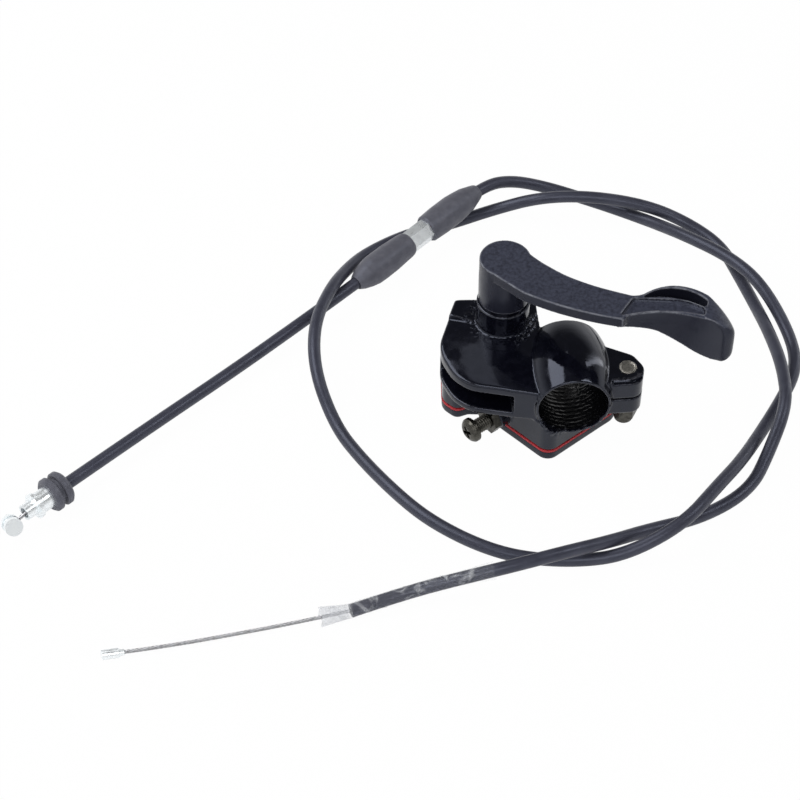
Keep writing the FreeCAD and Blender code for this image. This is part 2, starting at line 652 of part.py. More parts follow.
def make_spring():
    """The return spring: round wire coiled about the shaft, up against the chamber's roof."""
    radius = size("spring_d") / 2
    wire = size("spring_wire") / 2
    height = size("spring_turns") * size("spring_pitch")
    coil = Part.makeHelix(size("spring_pitch"), height, radius)
    section = Part.Wire(Part.makeCircle(wire, Vector(radius, 0, 0), Vector(0, 1, 0)))
    spring = doc.addObject("Part::Feature", "return_spring")
    spring.Shape = Part.Wire(coil.Edges).makePipeShell([section], True, True)
    low = size("chamber_roof") - height - wire - 0.02
    spring.Placement = Placement(PIVOT + Vector(0, 0, low), Rotation())
    return spring


# Lever

def swept_sideways(name, edges, way):
    """An outline in the XZ plane, swept both ways along a level direction."""
    solid = doc.addObject("Part::Extrusion", name)
    solid.Base = sketch(name + "_outline", edges, plane="XZ_Plane")
    solid.DirMode = "Custom"
    solid.Dir = way
    solid.Solid = True
    solid.Symmetric = True
    solid.LengthFwd = 2 * AWAY
    return solid


def make_lever():
    """The lever: hub, flat arm over the bar and a deep pad with two hollows in its top."""
    arm_edges = arcs((-11.3, 32.9), (-2.6, 23.6), (8.0, 16.6), (13.0, 14.2), (19.0, 11.4),
                     (17.6, 6.6), (13.6, 1.9), (-3.4, 8.6), (-15.6, 16.0), (-19.8, 20.4),
                     (-24.2, 25.2), (-19.0, 32.0), (-11.3, 32.9))
    arm = prism("arm_slab", arm_edges, "Sizes.lever_top - Sizes.lever_thick", "Sizes.lever_thick")
    cap = cylinder("arm_round", "Sizes.hub_d / 2", "Sizes.lever_thick", "Sizes.pivot_x",
                   "Sizes.pivot_y", "Sizes.lever_top - Sizes.lever_thick")
    hub = cylinder("lever_hub", "Sizes.hub_d / 2",
                   "Sizes.lever_top - Sizes.boss_top - Sizes.bush_flange - Sizes.body_gap",
                   "Sizes.pivot_x", "Sizes.pivot_y",
                   "Sizes.boss_top + Sizes.bush_flange + Sizes.body_gap")
    pad_edges = arcs((12.0, 2.6), (29.7, 3.5), (43.6, -3.0), (46.4, -4.0), (48.4, -1.6),
                     (46.0, 4.6), (40.6, 10.8), (32.2, 15.1), (22.4, 12.9), (19.4, 11.9),
                     (15.6, 12.9), (12.6, 8.0), (12.0, 2.6))
    pad_plan = prism("pad_plan", pad_edges, "0", "Sizes.lever_top + 1")
    under = size("lever_top") - size("lever_thick")
    top = size("lever_top")
    side_edges = rounded([(10.0, under, 0), (24.0, 28.9, 18), (37.6, 20.4, 14), (45.0, 19.9, 4),
                          (50.2, 24.0, 4), (49.0, 32.5, 5), (43.4, top, 10), (10.0, top, 0)])
    pad_side = swept_sideways("pad_side", side_edges, Vector(0, 1, 0))
    pad = common("pad_block", pad_plan, pad_side)
    ledge = prism("pad_ledge", arcs((12.2, 0.4), (25.4, -1.0), (38.5, -2.0), (38.9, 1.4),
                                    (40.4, 6.2), (32.0, 9.9), (20.4, 11.3)),
                  "Sizes.lever_top - Sizes.pad_step", "10")
    trough = prism("pad_trough", arcs((12.7, 3.5), (26.6, 4.7), (38.9, 1.7), (39.2, 3.2),
                                      (39.2, 4.7), (34.9, 7.7), (29.0, 9.3), (23.5, 10.0),
                                      (18.0, 10.8)),
                   "Sizes.lever_top - Sizes.pad_step - Sizes.trough_depth", "10")
    bend = Vector(5.8, 8.8, 0)
    floor = top - size("pad_step") - size("trough_depth")
    sunk = swept_sideways("pad_sunk", rounded([(10.1, top, 0), (11.5, floor, 0),
                                               (AWAY, floor, 0), (AWAY, top + 5, 0),
                                               (10.1, top + 5, 0)]), bend)
    sunk_ledge = common("pad_sunk_ledge", ledge, sunk)
    sunk_trough = common("pad_sunk_trough", trough, sunk)
    pocket = prism("pad_pocket", arcs((21.2, 11.2), (32.0, 9.7), (39.3, 5.7), (40.4, 6.4),
                                      (40.7, 7.9), (33.0, 13.7), (21.2, 11.2)),
                   "Sizes.lever_top - Sizes.pad_step - Sizes.pocket_depth", "20")
    blind = cylinder("hub_bore", "Sizes.shaft_d / 2", "Sizes.lever_top - Sizes.hub_cap",
                     "Sizes.pivot_x", "Sizes.pivot_y")
    whole = fuse("lever_whole", arm, cap, hub, pad)
    return cut("thumb_lever", whole, sunk_ledge, sunk_trough, pocket, blind)


# Limiter

def make_limiter_screw():
    """The screw that limits the lever's travel: pan head with a cross recess."""
    half = size("limiter_head") / 2
    head = size("limiter_head_d") / 2
    thread = size("limiter_d") / 2
    tip = size("limiter_len")
    blank = turned("limiter_blank", [(0, -half), (head * 0.55, -half), (head * 0.85, -half * 0.5),
                                     (head, 0.1), (head, half), (thread, half),
                                     (thread, tip - 0.8), (thread - 0.8, tip), (0, tip)])
    arms = []
    for number, (length, width) in enumerate([("cross_len", "cross_width"),
                                              ("cross_width", "cross_len")], start=1):
        arms.append(block("cross_arm_%d" % number, "Sizes." + length, "Sizes." + width,
                          "Sizes.cross_depth + 1", "-Sizes.%s / 2" % length,
                          "-Sizes.%s / 2" % width, "-Sizes.limiter_head / 2 - 1"))
    screw = cut("limiter_screw", blank, *arms)
    return face_along(screw, LIMITER_HEAD, LIMITER_WAY)


def make_limiter_nut():
    """The lock nut against the limiter's boss."""
    blank = hexagon("limiter_nut_blank", "Sizes.limiter_nut_d", "Sizes.limiter_nut")
    hole = cylinder("limiter_nut_hole", "Sizes.limiter_d / 2 + Sizes.limiter_run",
                    "Sizes.limiter_nut + 2", z="-1")
    nut = cut("limiter_nut", blank, hole)
    return face_along(nut, limiter_point(size("limiter_nut_at")), LIMITER_WAY)


# Cable

ADJUSTER_START = Vector(-63.8, 77.0, FLOOR + 7.2)
ADJUSTER_WAY = Vector(45.5, 38.3, 4.0)
ADJUSTER_WAY.normalize()
BARREL_CENTRE = Vector(-178.7, -18.4, FLOOR + 4.2)
BARREL_LEAN = Vector(0.55, -0.59, 0.59)

# The casing between the adjuster and the port end: (x, y, height above the floor)
CASING_SHORT = [(-162.3, -4.8, 5.8), (-135.0, 18.8, 5.0), (-108.3, 41.0, 4.5),
                (-84.4, 61.0, 5.0), (-63.8, 77.0, 7.2), (-59.2, 80.9, 7.6)]

# The long casing: out of the upper boot, round the loop nearly twice, over itself five times
# and over the short casing once, to its bare end
CASING_LONG = [
    (-22.9, 111.4, 10.8), (-15.2, 117.9, 11.5), (-5.0, 122.5, 8.7), (7.6, 123.2, 3.9),
    (19.4, 118.6, 2.1), (29.0, 112.9, 2.1), (41.6, 102.5, 3.9), (52.0, 88.0, 9.6),
    (65.0, 74.9, 10.8), (73.5, 61.7, 10.0), (80.8, 44.6, 2.1), (79.8, 29.1, 2.1), (71.7, 15.4, 2.1),
    (62.3, 1.4, 2.8), (52.6, -14.2, 7.7), (42.9, -26.0, 10.5), (29.8, -40.9, 11.1),
    (11.4, -46.5, 4.5), (-3.8, -46.0, 2.1), (-21.4, -43.1, 2.1), (-34.4, -36.7, 2.1),
    (-47.4, -26.3, 2.1), (-56.7, -15.1, 2.1), (-67.5, 1.4, 2.2), (-75.1, 16.8, 2.1),
    (-80.6, 33.6, 11.1), (-79.5, 52.4, 14.0), (-73.0, 70.0, 12.2), (-66.7, 83.2, 7.8),
    (-59.1, 95.1, 3.5), (-44.2, 104.8, 2.1), (-29.4, 108.5, 2.1), (-11.9, 114.6, 2.7),
    (3.6, 111.3, 10.2), (21.0, 109.7, 10.9), (40.4, 106.1, 8.5), (54.6, 101.2, 3.6),
    (65.0, 90.0, 2.1), (68.4, 75.0, 2.1), (71.3, 57.7, 3.3), (72.1, 40.9, 8.2),
    (72.8, 22.9, 10.7), (71.1, 6.1, 11.0), (63.2, -8.0, 3.9), (54.9, -21.6, 2.1),
    (38.1, -31.6, 2.1), (19.6, -35.7, 2.5), (6.5, -42.7, 6.8), (-8.5, -48.8, 10.6),
    (-25.4, -53.1, 10.9), (-43.3, -54.1, 7.2), (-58.4, -54.6, 3.0), (-75.3, -59.9, 2.8)]

# The bare wire past the casing's end
WIRE_BARE = [(-75.4, -59.9, 2.8), (-92.0, -62.3, 1.9), (-112.3, -64.9, 1.3),
             (-131.0, -67.5, 1.4), (-144.2, -68.8, 1.6)]


def route(points):
    """Points above the floor as vectors."""
    return [Vector(x, y, FLOOR + above) for x, y, above in points]


FERRULE_END, AFTER_FERRULE = route(CASING_SHORT)[:2]
FERRULE_WAY = (FERRULE_END - AFTER_FERRULE).normalize()


def cord_path(name, points):
    """Straight runs joined by tangent arcs as large as the runs allow."""
    edges = []
    radii = []
    last = points[0]
    for index in range(1, len(points) - 1):
        here = points[index]
        back = points[index - 1] - here
        ahead = points[index + 1] - here
        shorter = min(back.Length, ahead.Length)
        back.normalize()
        ahead.normalize()
        half_turn = (math.pi - back.getAngle(ahead)) / 2
        reach = 0.45 * shorter
        radius = reach / math.tan(half_turn)
        radii.append(radius)
        inward = (back + ahead).normalize()
        start = here + back * reach
        end = here + ahead * reach
        middle = here + inward * (radius / math.cos(half_turn) - radius)
        edges.append(Part.LineSegment(last, start).toShape())
        edges.append(Part.Arc(start, middle, end).toShape())
        last = end
    edges.append(Part.LineSegment(last, points[-1]).toShape())
    wire = Part.Wire(edges)
    print(name, "length %.1f" % wire.Length, "radii", " ".join("%.0f" % r for r in radii))
    return wire


def tube(name, path, outer, inner=0.0):
    """A cord's solid along its path, or a hose's with an inner radius."""
    first = path.Edges[0]
    start = first.valueAt(first.FirstParameter)
    way = first.tangentAt(first.FirstParameter)

    def swept(radius):
        section = Part.Wire(Part.makeCircle(radius, start, way))
        return path.makePipeShell([section], True, False)

    solid = swept(outer)
    expected = math.pi * outer * outer * path.Length
    if inner > 0:
        solid = solid.cut(swept(inner))
        expected -= math.pi * inner * inner * path.Length
    print(name, "volume over section times length %.4f" % (solid.Volume / expected))
    item = doc.addObject("Part::Feature", name)
    item.Shape = solid
    return item


def make_barrel_nipple():
    """The barrel nipple with the groove where the wire is cast in."""
    half = size("barrel_len") / 2
    groove = size("barrel_groove") / 2
    outer = size("barrel_d") / 2
    inner = size("barrel_groove_d") / 2
    nipple = turned("barrel_nipple", [(0, -half), (outer, -half), (outer, -groove),
                                      (inner, -groove), (inner, groove), (outer, groove),
                                      (outer, half), (0, half)])
    wire_way = (BARREL_CENTRE - ferrule_tip()).normalize()
    square = BARREL_LEAN - wire_way * BARREL_LEAN.dot(wire_way)
    return face_along(nipple, BARREL_CENTRE, square)


def ferrule_tip():
    """The end of the ferrule that the wire leaves."""
    whole = size("grommet_len") + size("ferrule_body_len") - size("grommet_seat")
    return FERRULE_END + FERRULE_WAY * (whole + size("ferrule_flange") + size("ferrule_tip_len"))


def make_ferrule():
    """The ferrule: tip, flange and body, seated in the grommet, bored for the wire."""
    bore = size("wire_d") / 2 + size("wire_gap")
    tip = size("ferrule_tip_d") / 2
    mouth = tip - size("ferrule_mouth_wall")
    flange = size("ferrule_flange_d") / 2
    body = size("ferrule_body_d") / 2
    start = size("grommet_len") - size("grommet_seat")
    high = start + size("ferrule_body_len")
    rim = high + size("ferrule_flange")
    end = rim + size("ferrule_tip_len")
    floor = end - size("ferrule_mouth")
    ferrule = turned("ferrule", [(bore, start), (body, start), (body, high), (flange, high),
                                 (flange, rim), (tip, rim), (tip, end), (mouth, end),
                                 (mouth, floor), (bore, floor)])
    return face_along(ferrule, FERRULE_END, FERRULE_WAY)


def make_grommet():
    """The rubber grommet: two discs with a groove, round the casing and the ferrule."""
    neck = size("grommet_neck_d") / 2
    disc = size("grommet_d") / 2
    lip = size("grommet_lip")
    whole = size("grommet_len")
    seat = whole - size("grommet_seat")
    body = size("ferrule_body_d") / 2
    grommet = turned("grommet", [(0, 0), (disc - 0.8, 0), (disc, 0.8), (disc, lip - 0.5),
                                 (disc - 0.5, lip), (neck, lip), (neck, whole - lip),
                                 (disc - 0.5, whole - lip), (disc, whole - lip + 0.5),
                                 (disc, whole - 0.8), (disc - 0.8, whole), (body, whole),
                                 (body, seat), (0, seat)])
    return face_along(grommet, FERRULE_END, FERRULE_WAY)


def make_wire_short():
    """The wire between the ferrule and the barrel nipple."""
    start = ferrule_tip() - FERRULE_WAY * (size("ferrule_mouth") - 0.2)
    wire = doc.addObject("Part::Cylinder", "wire_short")
    way = BARREL_CENTRE - start
    bind(wire, Radius="Sizes.wire_d / 2")
    wire.Height = way.Length - size("barrel_groove_d") / 2
    return face_along(wire, start, way)


def adjuster_point(distance):
    """A point on the in-line adjuster's axis."""
    return ADJUSTER_START + ADJUSTER_WAY * distance


def make_adjuster():
    """The in-line adjuster: a threaded stem with a hexagon between the two boots."""
    first = size("casing_in_boot")
    last = size("adjuster_len") - size("casing_in_boot")
    stem = size("stem_d") / 2
    bore = size("wire_d") / 2 + size("wire_gap")
    body = turned("adjuster_stem_body", [
        (bore, first), (stem, first), (stem, last), (bore, last)])
    stem_item = face_along(body, ADJUSTER_START, ADJUSTER_WAY)
    between = "Sizes.adjuster_len - Sizes.boot_lower_len - Sizes.boot_upper_len"
    blank = hexagon("adjuster_nut_blank", "Sizes.hex_d", between)
    hole = cylinder("adjuster_nut_hole", "Sizes.stem_d / 2", between + " + 2", z="-1")
    nut = cut("adjuster_nut", blank, hole)
    face_along(nut, adjuster_point(size("boot_lower_len")), ADJUSTER_WAY)
    return stem_item, nut


def boot(name, start, profile):
    """A rubber boot from its half section along the adjuster's axis."""
    return face_along(turned(name, profile), adjuster_point(start), ADJUSTER_WAY)


def make_boots():
    """The two rubber boots over the adjuster's ends."""
    neck = size("boot_neck_d") / 2
    full = size("boot_d") / 2
    cord = size("cord_d") / 2 + size("casing_gap")
    stem = size("stem_d") / 2 + size("boot_stem_gap")
    inside = size("casing_in_boot")
    long = size("boot_lower_len")
    mouth = size("boot_mouth_d") / 2
    lower = boot("boot_lower", 0, [
        (cord, 0), (neck - 0.3, 0), (neck, 0.5), (neck + 0.8, long * 0.08),
        (full - 0.7, long * 0.19), (full - 0.1, long * 0.3), (full, long * 0.45),
        (full - 0.1, long * 0.64), (mouth, long * 0.92), (mouth - 0.2, long * 0.97),
        (mouth - 0.6, long), (stem, long), (stem, inside), (cord, inside)])
    long = size("boot_upper_len")
    wide = size("boot_upper_mouth_d") / 2
    upper = boot("boot_upper", size("adjuster_len") - long, [
        (stem, 0), (wide - 0.4, 0), (wide, 0.6), (full, long * 0.24), (full, long * 0.52),
        (full - 0.3, long * 0.64), (neck + 1.6, long * 0.78), (neck + 0.5, long * 0.92),
        (neck, long - 0.5), (neck - 0.3, long), (cord, long), (cord, long - inside),
        (stem, long - inside)])
    return lower, upper


def make_end_nipple():
    """The nipple at the wire's free end, with its crimp ring."""
    start, last = route(WIRE_BARE)[-2:]
    crimp = size("crimp_d") / 2
    outer = size("end_nipple_d") / 2
    neck = size("crimp_len")
    whole = neck + size("end_nipple_len")
    nipple = turned("end_nipple", [(0, 0), (crimp, 0), (crimp, neck), (outer - 0.3, neck),
                                   (outer, neck + 0.3), (outer, whole - 0.3),
                                   (outer - 0.3, whole), (0, whole)])
    return face_along(nipple, last, last - start)


def sleeve_path(path):
    """The casing's last stretch, from one straight run to a little past its end."""
    last = path.Edges[-1]
    start = last.valueAt(last.FirstParameter)
    way = last.tangentAt(last.FirstParameter)
    end = start + way * (last.Length + size("sleeve_past_end"))
    return Part.Wire(path.Edges[-5:-1] + [Part.LineSegment(start, end).toShape()])


casing_path = cord_path("casing_long", route(CASING_LONG))
casing_long = tube("casing_long", casing_path, size("cord_d") / 2)
clear_sleeve = tube("clear_sleeve", sleeve_path(casing_path), size("sleeve_d") / 2,
                    size("sleeve_d") / 2 - size("sleeve_wall"))
casing_short = tube("casing_short", cord_path("casing_short", route(CASING_SHORT)),
                    size("cord_d") / 2)
wire_bare = tube("wire_bare", cord_path("wire_bare", route(WIRE_BARE)), size("wire_d") / 2)
adjuster_stem, adjuster_nut = make_adjuster()
boot_lower, boot_upper = make_boots()

nodes = {
    "housing": make_housing(),
    "cover_gasket": make_gasket(),
    "bottom_cover": make_cover(),
    "cover_screws": make_cover_screws(),
    "clamp_bolt": make_clamp_bolt(),
    "clamp_washer": make_clamp_washer(),
    "pivot_bush": make_bush(),
    "return_spring": make_spring(),
    "limiter_nut": make_limiter_nut(),
    "limiter_screw": make_limiter_screw(),
    "thumb_lever": make_lever(),
    "pivot_shaft": make_shaft(),
    "cable_arm": make_cable_arm(),
    "shaft_washer": make_shaft_washer(),
    "shaft_nut": make_shaft_nut(),
    "barrel_nipple": make_barrel_nipple(),
    "wire_short": make_wire_short(),
    "cable_ferrule": make_ferrule(),
    "cable_grommet": make_grommet(),
    "casing_short": casing_short,
    "boot_lower": boot_lower,
    "adjuster_stem": adjuster_stem,
    "adjuster_nut": adjuster_nut,
    "boot_upper": boot_upper,
    "casing_long": casing_long,
    "clear_sleeve": clear_sleeve,
    "wire_bare": wire_bare,
    "end_nipple": make_end_nipple(),
}
for node, item in nodes.items():
    item.Label = node
doc.recompute()

for item in doc.Objects:
    if "Invalid" in item.State or "Error" in item.State:
        raise RuntimeError("%s is %s" % (item.Name, item.State))
for node, item in nodes.items():
    if item.Shape.isNull() or not item.Shape.isValid() or not item.Shape.Solids:
        raise RuntimeError("%s has no valid solid" % node)

os.makedirs("parts", exist_ok=True)
for node, item in nodes.items():
    item.Shape.exportStep(os.path.join("parts", node + ".step"))
    box = item.Shape.BoundBox
    print("%-14s solids %d volume %.1f  x %.1f..%.1f y %.1f..%.1f z %.1f..%.1f" % (
        node, len(item.Shape.Solids), item.Shape.Volume, box.XMin, box.XMax, box.YMin,
        box.YMax, box.ZMin, box.ZMax))
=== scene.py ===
import bmesh
import bpy
import math
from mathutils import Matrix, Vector, noise

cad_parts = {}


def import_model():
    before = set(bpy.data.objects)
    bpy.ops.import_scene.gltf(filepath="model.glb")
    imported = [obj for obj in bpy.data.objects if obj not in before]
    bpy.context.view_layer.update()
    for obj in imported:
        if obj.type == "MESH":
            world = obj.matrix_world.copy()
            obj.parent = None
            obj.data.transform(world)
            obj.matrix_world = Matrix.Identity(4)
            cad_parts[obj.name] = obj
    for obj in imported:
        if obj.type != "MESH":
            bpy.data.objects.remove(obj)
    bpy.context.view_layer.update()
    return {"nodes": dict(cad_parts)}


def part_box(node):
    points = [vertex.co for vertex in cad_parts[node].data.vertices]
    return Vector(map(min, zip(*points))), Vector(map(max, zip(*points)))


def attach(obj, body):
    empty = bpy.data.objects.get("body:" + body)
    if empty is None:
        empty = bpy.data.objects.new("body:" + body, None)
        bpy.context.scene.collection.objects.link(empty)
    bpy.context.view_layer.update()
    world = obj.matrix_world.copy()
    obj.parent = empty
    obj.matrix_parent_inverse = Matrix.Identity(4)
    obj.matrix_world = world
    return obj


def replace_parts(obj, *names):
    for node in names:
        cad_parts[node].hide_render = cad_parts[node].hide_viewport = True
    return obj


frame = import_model()
nodes = frame["nodes"]

MM = 0.001
FLOOR = -0.0223          # the surface that the throttle and its cable stand on
BORE_R = 0.0111
CASING_D = 0.0042
WIRE_D = 0.0012
COOL = (0.74, 0.8, 1.0, 1.0)   # tint of the black paint's reflections


# Materials

def math_node(tree, operation, *values):
    """A math node fed by sockets or plain numbers; gives its output."""
    made = tree.nodes.new("ShaderNodeMath")
    made.operation = operation
    for socket, value in zip(made.inputs, values):
        if hasattr(value, "is_linked"):
            tree.links.new(value, socket)
        else:
            socket.default_value = value
    return made.outputs[0]


class Finish:
    """A procedural material: a principled shader with tone, roughness and bump from its nodes."""

    def __init__(self, name, colour, rough, metallic=0.0, specular=0.5):
        self.material = bpy.data.materials.new(name)
        self.material.use_nodes = True
        self.tree = self.material.node_tree
        self.shader = self.tree.nodes["Principled BSDF"]
        self.set("Base Color", (*colour, 1.0))
        self.set("Roughness", rough)
        self.set("Metallic", metallic)
        self.set("Specular IOR Level", specular)
        self.coords = self.node("ShaderNodeTexCoord").outputs["Object"]
        self.colour = tuple(colour)
        self.colour_out = None
        self.bump_out = None

    def set(self, socket, value):
        self.shader.inputs[socket].default_value = value

    def node(self, kind, **inputs):
        made = self.tree.nodes.new(kind)
        for name, value in inputs.items():
            socket = made.inputs[name.replace("_", " ")]
            if hasattr(value, "is_linked"):
                self.tree.links.new(value, socket)
            else:
                socket.default_value = value
        return made

    def link(self, output, socket):
        self.tree.links.new(output, self.shader.inputs[socket])

    def noise(self, scale, detail, rough=0.55, distortion=0.0):
        return self.node("ShaderNodeTexNoise", Vector=self.coords, Scale=scale, Detail=detail,
                         Roughness=rough, Distortion=distortion).outputs["Fac"]

    def ramp(self, fac, low, high, from_value=0.0, to_value=1.0):
        """Maps fac from low..high to from_value..to_value, clamped."""
        made = self.node("ShaderNodeMapRange", Value=fac)
        made.inputs["From Min"].default_value = low
        made.inputs["From Max"].default_value = high
        made.inputs["To Min"].default_value = from_value
        made.inputs["To Max"].default_value = to_value
        return made.outputs["Result"]

    def math(self, operation, first, second):
        return math_node(self.tree, operation, first, second)

    def tint(self, fac, colour):
        """Mixes the colour so far towards another where fac is 1."""
        made = self.tree.nodes.new("ShaderNodeMix")
        made.data_type = "RGBA"
        self.tree.links.new(fac, made.inputs["Factor"])
        if self.colour_out is None:
            made.inputs[6].default_value = (*self.colour, 1.0)
        else:
            self.tree.links.new(self.colour_out, made.inputs[6])
        made.inputs[7].default_value = (*colour, 1.0)
        self.colour_out = made.outputs[2]
        self.link(self.colour_out, "Base Color")

    def rough(self, fac, low, high, smooth, coarse):
        self.link(self.ramp(fac, low, high, smooth, coarse), "Roughness")

    def bump(self, height, depth, strength):
        """Adds one layer of bump; depth is in metres."""
        made = self.node("ShaderNodeBump", Height=height, Strength=strength, Distance=depth)
        if self.bump_out is not None:
            self.tree.links.new(self.bump_out, made.inputs["Normal"])
        self.bump_out = made.outputs["Normal"]
        self.link(self.bump_out, "Normal")

    def edges(self, low, high):
        """Where the mesh's convex edges are, from how far its wear attribute stands out, in mm."""
        wear = self.tree.nodes.new("ShaderNodeAttribute")
        wear.attribute_name = "wear"
        return self.ramp(wear.outputs["Fac"], low, high)


def casting():
    """Gloss black paint over a die casting."""
    f = Finish("gloss_black_casting", (0.0026, 0.0028, 0.0056), 0.1, specular=0.5)
    f.set("Specular Tint", COOL)
    f.tint(f.ramp(f.noise(420, 4), 0.45, 0.75), (0.0055, 0.0058, 0.0105))
    worn = f.math("MULTIPLY", f.edges(0.04, 0.14), f.ramp(f.noise(900, 3), 0.4, 0.6, 0.1, 0.8))
    f.tint(worn, (0.06, 0.06, 0.07))
    f.rough(f.noise(260, 5), 0.4, 0.72, 0.07, 0.2)
    f.bump(f.noise(700, 3), 0.00001, 0.5)
    f.bump(f.noise(150, 2), 0.00007, 0.3)
    return f.material


def bore_paint():
    """The same black inside the bore, wetter and rougher."""
    f = Finish("gloss_black_bore", (0.003, 0.003, 0.004), 0.16, specular=0.5)
    f.tint(f.ramp(f.noise(800, 4), 0.62, 0.74), (0.018, 0.018, 0.021))
    f.rough(f.noise(500, 4), 0.35, 0.7, 0.12, 0.3)
    f.bump(f.noise(1500, 4), 0.0001, 0.6)
    return f.material


def lever_paint():
    """Black paint, gloss on the sides, grained on top with painted light making the upward faces
    paler, and worn pale along the edges, partly as a painted edge highlight.
    """
    f = Finish("grained_lever_paint_with_painted_light", (0.0125, 0.0132, 0.0215), 0.3, specular=0.38)
    f.set("Specular Tint", COOL)
    facing = f.node("ShaderNodeSeparateXYZ", Vector=f.node("ShaderNodeTexCoord").outputs["Normal"])
    top = f.ramp(facing.outputs["Z"], 0.6, 0.9)
    # Painted light: the faces that look upwards are tinted paler, mottled like the grain.
    f.tint(f.math("MULTIPLY", top, f.ramp(f.noise(900, 5), 0.25, 0.6)), (0.041, 0.0445, 0.066))
    # Pale edges and pad ridges: partly paint worn thin, partly a painted edge highlight.
    worn = f.math("MULTIPLY", f.edges(0.02, 0.08), f.ramp(f.noise(500, 4), 0.34, 0.6, 0.3, 1.0))
    f.tint(worn, (0.17, 0.175, 0.2))
    uneven = f.ramp(f.noise(330, 4), 0.3, 0.7, 0.0, 0.1)
    f.link(f.math("ADD", f.ramp(top, 0.0, 1.0, 0.16, 0.36), uneven), "Roughness")
    f.bump(f.math("MULTIPLY", top, f.noise(1400, 3, 0.7)), 0.00012, 1.0)
    f.bump(f.noise(400, 3), 0.00004, 0.4)
    return f.material


def cover_paint():
    """Satin black paint on the bottom cover."""
    f = Finish("satin_cover_black", (0.009, 0.0098, 0.0155), 0.3, specular=0.38)
    f.set("Specular Tint", COOL)
    f.tint(f.ramp(f.noise(300, 4), 0.45, 0.75), (0.014, 0.015, 0.022))
    f.rough(f.noise(380, 4), 0.3, 0.7, 0.26, 0.42)
    f.bump(f.noise(1500, 3), 0.00002, 0.5)
    return f.material


def gasket_red():
    f = Finish("red_gasket_fibre", (0.48, 0.022, 0.03), 0.6)
    f.tint(f.ramp(f.noise(1500, 3), 0.45, 0.7), (0.3, 0.012, 0.02))
    f.bump(f.noise(3000, 3), 0.00004, 0.6)
    return f.material


def metal(name, colour, dark, rough, grain=1400, depth=0.00002, metallic=1.0):
    """Plated or turned metal, mottled towards the dark colour."""
    f = Finish(name, colour, rough, metallic=metallic)
    f.tint(f.ramp(f.noise(700, 5), 0.45, 0.75), dark)
    f.rough(f.noise(grain / 3, 4), 0.3, 0.7, rough * 0.8, rough * 1.4)
    f.bump(f.noise(grain, 3), depth, 0.5)
    return f.material


def casing_skin():
    """Extruded satin black casing."""
    f = Finish("satin_casing", (0.036, 0.037, 0.052), 0.34, specular=0.5)
    f.set("Specular Tint", COOL)
    f.tint(f.ramp(f.noise(150, 4), 0.4, 0.75), (0.05, 0.051, 0.07))
    f.rough(f.noise(420, 3), 0.3, 0.7, 0.28, 0.42)
    f.bump(f.noise(1900, 2), 0.00001, 0.5)
    return f.material


def rubber():
    """Moulded rubber with a soft bloom."""
    f = Finish("satin_rubber", (0.085, 0.085, 0.102), 0.42, specular=0.55)
    f.set("Specular Tint", COOL)
    f.tint(f.ramp(f.noise(380, 4), 0.42, 0.75), (0.115, 0.115, 0.135))
    f.rough(f.noise(500, 4), 0.3, 0.7, 0.38, 0.54)
    f.bump(f.noise(2400, 3), 0.00002, 0.5)
    return f.material


def clear_film():
    """Thin clear sleeve, milky where it is creased."""
    f = Finish("clear_film", (0.8, 0.82, 0.86), 0.14)
    creases = f.ramp(f.noise(190, 3, 0.6, 1.2), 0.54, 0.72, 0.025, 0.3)
    across = f.node("ShaderNodeSeparateXYZ", Vector=f.coords).outputs["X"]
    open_end = f.ramp(across, -0.0745, -0.0765, 0.0, 0.2)
    f.link(f.math("ADD", creases, open_end), "Alpha")
    f.bump(f.noise(420, 4), 0.0002, 0.7)
    return f.material


def stranded():
    f = Finish("stranded_wire", (0.5, 0.5, 0.52), 0.3, metallic=1.0)
    f.tint(f.ramp(f.noise(1200, 3), 0.4, 0.7), (0.3, 0.3, 0.31))
    return f.material


casting_black = casting()
bore_black = bore_paint()
lever_black = lever_paint()
cover_black = cover_paint()
dark_zinc = metal("dark_zinc", (0.1, 0.096, 0.085), (0.035, 0.034, 0.03), 0.3)
worn_zinc = metal("worn_zinc", (0.46, 0.44, 0.4), (0.26, 0.25, 0.22), 0.34)
bright_zinc = metal("bright_zinc", (0.95, 0.985, 1.0), (0.9, 0.94, 0.97), 0.3, 900, 0.000001, 0.8)
steel = metal("steel", (0.55, 0.55, 0.56), (0.38, 0.38, 0.38), 0.3)
bronze = metal("bronze", (0.45, 0.32, 0.16), (0.3, 0.2, 0.09), 0.35)
casing_black = casing_skin()
rubber_black = rubber()
film = clear_film()
wire_steel = stranded()

NODE_MATERIALS = {
    "housing": casting_black, "cover_gasket": gasket_red(), "bottom_cover": cover_black,
    "cover_screws": dark_zinc, "clamp_bolt": dark_zinc, "clamp_washer": dark_zinc,
    "pivot_bush": casting_black, "return_spring": steel, "limiter_nut": dark_zinc,
    "limiter_screw": dark_zinc, "thumb_lever": lever_black, "pivot_shaft": steel,
    "cable_arm": steel, "shaft_washer": steel, "shaft_nut": steel,
    "barrel_nipple": bright_zinc, "wire_short": wire_steel, "cable_ferrule": bright_zinc,
    "cable_grommet": rubber_black, "casing_short": casing_black, "boot_lower": rubber_black,
    "adjuster_stem": bright_zinc, "adjuster_nut": bright_zinc, "boot_upper": rubber_black,
    "casing_long": casing_black, "clear_sleeve": film, "wire_bare": wire_steel,
    "end_nipple": bright_zinc,
}


def dress(item, material):
    """Gives a mesh one material on all its faces."""
    item.data.materials.clear()
    item.data.materials.append(material)
    return item


for node_name, finish in NODE_MATERIALS.items():
    node = nodes[node_name]
    if len(node.material_slots) == 0:
        node.data.materials.append(finish)
    for place in node.material_slots:
        place.material = finish


# Meshes

def new_object(name, data):
    made = bpy.data.objects.new(name, data)
    bpy.context.scene.collection.objects.link(made)
    return made


